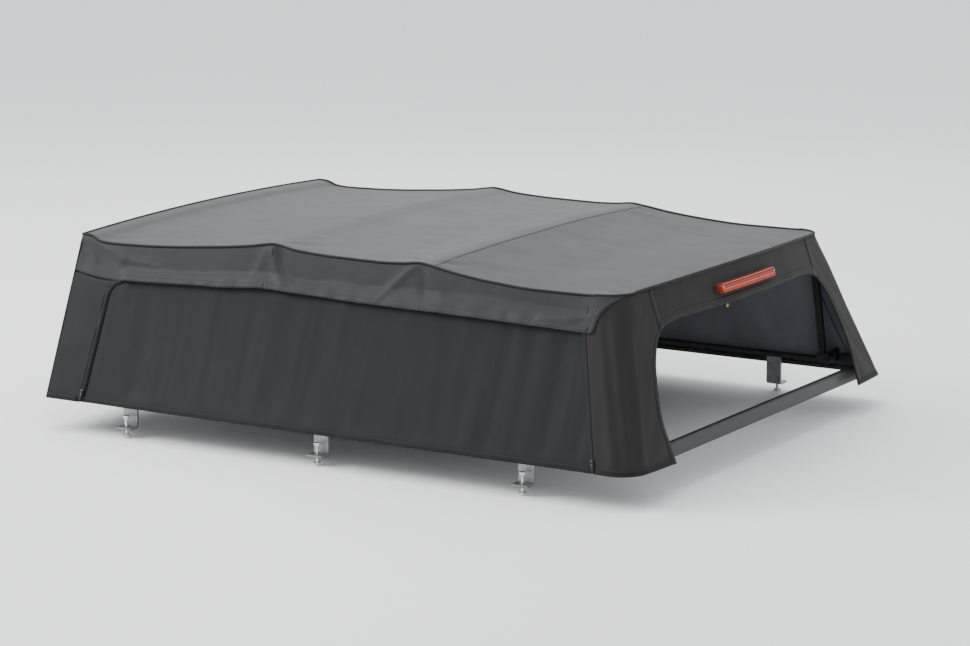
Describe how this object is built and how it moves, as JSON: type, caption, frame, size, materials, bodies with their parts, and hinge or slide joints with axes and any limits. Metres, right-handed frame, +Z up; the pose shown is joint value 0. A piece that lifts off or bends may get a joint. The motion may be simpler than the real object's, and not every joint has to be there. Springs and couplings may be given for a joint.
{
  "type": "folding soft canopy for a pickup bed",
  "caption": "Cloth canopy on tube bows that clamps to the side rails of an open cargo bed; two bows and a rear hoop on side arms fold forward.",
  "frame": {"origin": "under the middle of the canopy, level with the heads of the clamp bolts it stands on when it is off the bed", "axes": "+Y towards the front wall, +X to the right seen from behind, +Z up"},
  "size_m": [1.4888, 1.8291, 0.5509],
  "materials": {
    "canopy_cloth": "matt woven acrylic-coated cloth",
    "rail_aluminium": "black anodised extrusion",
    "sill_coating": "satin grey",
    "black_powder_coat": "satin black powder coat",
    "zinc_steel": "zinc plated",
    "clamp_casting": "cast",
    "foam_rubber": "closed-cell foam",
    "black_plastic": "moulded",
    "clear_vinyl": "tinted clear sheet",
    "red_lens": "moulded lens",
    "lamp_plastic": "moulded rim"
  },
  "bodies": {
    "base": {"belt_rail_left": "rail_aluminium", "belt_rail_right": "rail_aluminium", "bulkhead_rail": "rail_aluminium", "bulkhead_seal": "foam_rubber", "clamp_bolt_left_front": "zinc_steel", "clamp_bolt_left_middle": "zinc_steel", "clamp_bolt_left_rear": "zinc_steel", "clamp_bolt_right_front": "zinc_steel", "clamp_bolt_right_middle": "zinc_steel", "clamp_bolt_right_rear": "zinc_steel", "clamp_left_front": "clamp_casting", "clamp_left_middle": "clamp_casting", "clamp_left_rear": "clamp_casting", "clamp_right_front": "clamp_casting", "clamp_right_middle": "clamp_casting", "clamp_right_rear": "clamp_casting", "front_bow": "black_powder_coat", "front_panel": "canopy_cloth", "front_socket_left": "black_plastic", "front_socket_right": "black_plastic", "front_strip_left": "canopy_cloth", "front_strip_right": "canopy_cloth", "front_window": "clear_vinyl", "latch_bracket_left": "black_powder_coat", "latch_bracket_right": "black_powder_coat", "latch_knob_left": "black_plastic", "latch_knob_right": "black_plastic", "pivot_bracket_left": "black_powder_coat", "pivot_bracket_right": "black_powder_coat", "rail_seal_left": "foam_rubber", "rail_seal_right": "foam_rubber", "roof_front": "canopy_cloth", "side_panel_left": "canopy_cloth", "side_panel_right": "canopy_cloth", "sill_bar": "sill_coating", "sill_bracket_left": "black_powder_coat", "sill_bracket_right": "black_powder_coat"},
    "bow_two": {"bow_2": "black_powder_coat", "roof_middle": "canopy_cloth"},
    "bow_three": {"bow_3": "black_powder_coat"},
    "side_arms": {"side_arm_left": "black_powder_coat", "side_arm_right": "black_powder_coat", "roof_rear": "canopy_cloth", "rear_flap_left": "canopy_cloth", "rear_flap_right": "canopy_cloth"},
    "rear_hoop": {"rear_bow": "black_powder_coat", "rear_header": "canopy_cloth", "lamp_base": "lamp_plastic", "lamp_lens": "red_lens", "rear_corner_left": "canopy_cloth", "rear_corner_right": "canopy_cloth", "rear_foot_left": "black_plastic", "rear_foot_right": "black_plastic"}
  },
  "joints": [
    {"name": "bow_two_fold", "type": "hinge", "parent": "base", "child": "bow_two", "pos_m": [0, 0.207, 0.149], "axis": [-1, 0, 0], "range_deg": [0, 77], "deforming": ["roof_front", "side_panel_left", "side_panel_right"]},
    {"name": "bow_three_fold", "type": "hinge", "parent": "bow_two", "child": "bow_three", "pos_m": [0, 0.207, 0.149], "axis": [-1, 0, 0], "range_deg": [0, 54], "deforming": ["roof_middle"]},
    {"name": "side_arm_fold", "type": "hinge", "parent": "bow_three", "child": "side_arms", "pos_m": [0, -0.12392, 0.464], "axis": [1, 0, 0], "range_deg": [0, 126], "deforming": ["rear_flap_left", "rear_flap_right"]},
    {"name": "rear_bow_fold", "type": "hinge", "parent": "side_arms", "child": "rear_hoop", "pos_m": [0, -0.7491, 0.429], "axis": [1, 0, 0], "range_deg": [0, 95], "deforming": ["rear_corner_left", "rear_corner_right"]}
  ],
  "couplings": [
    {"joint": "bow_three_fold", "follows": "bow_two_fold", "ratio": 0.7012},
    {"joint": "side_arm_fold", "follows": "bow_two_fold", "ratio": 1.6363},
    {"joint": "rear_bow_fold", "follows": "bow_two_fold", "ratio": 1.2337}
  ]
}
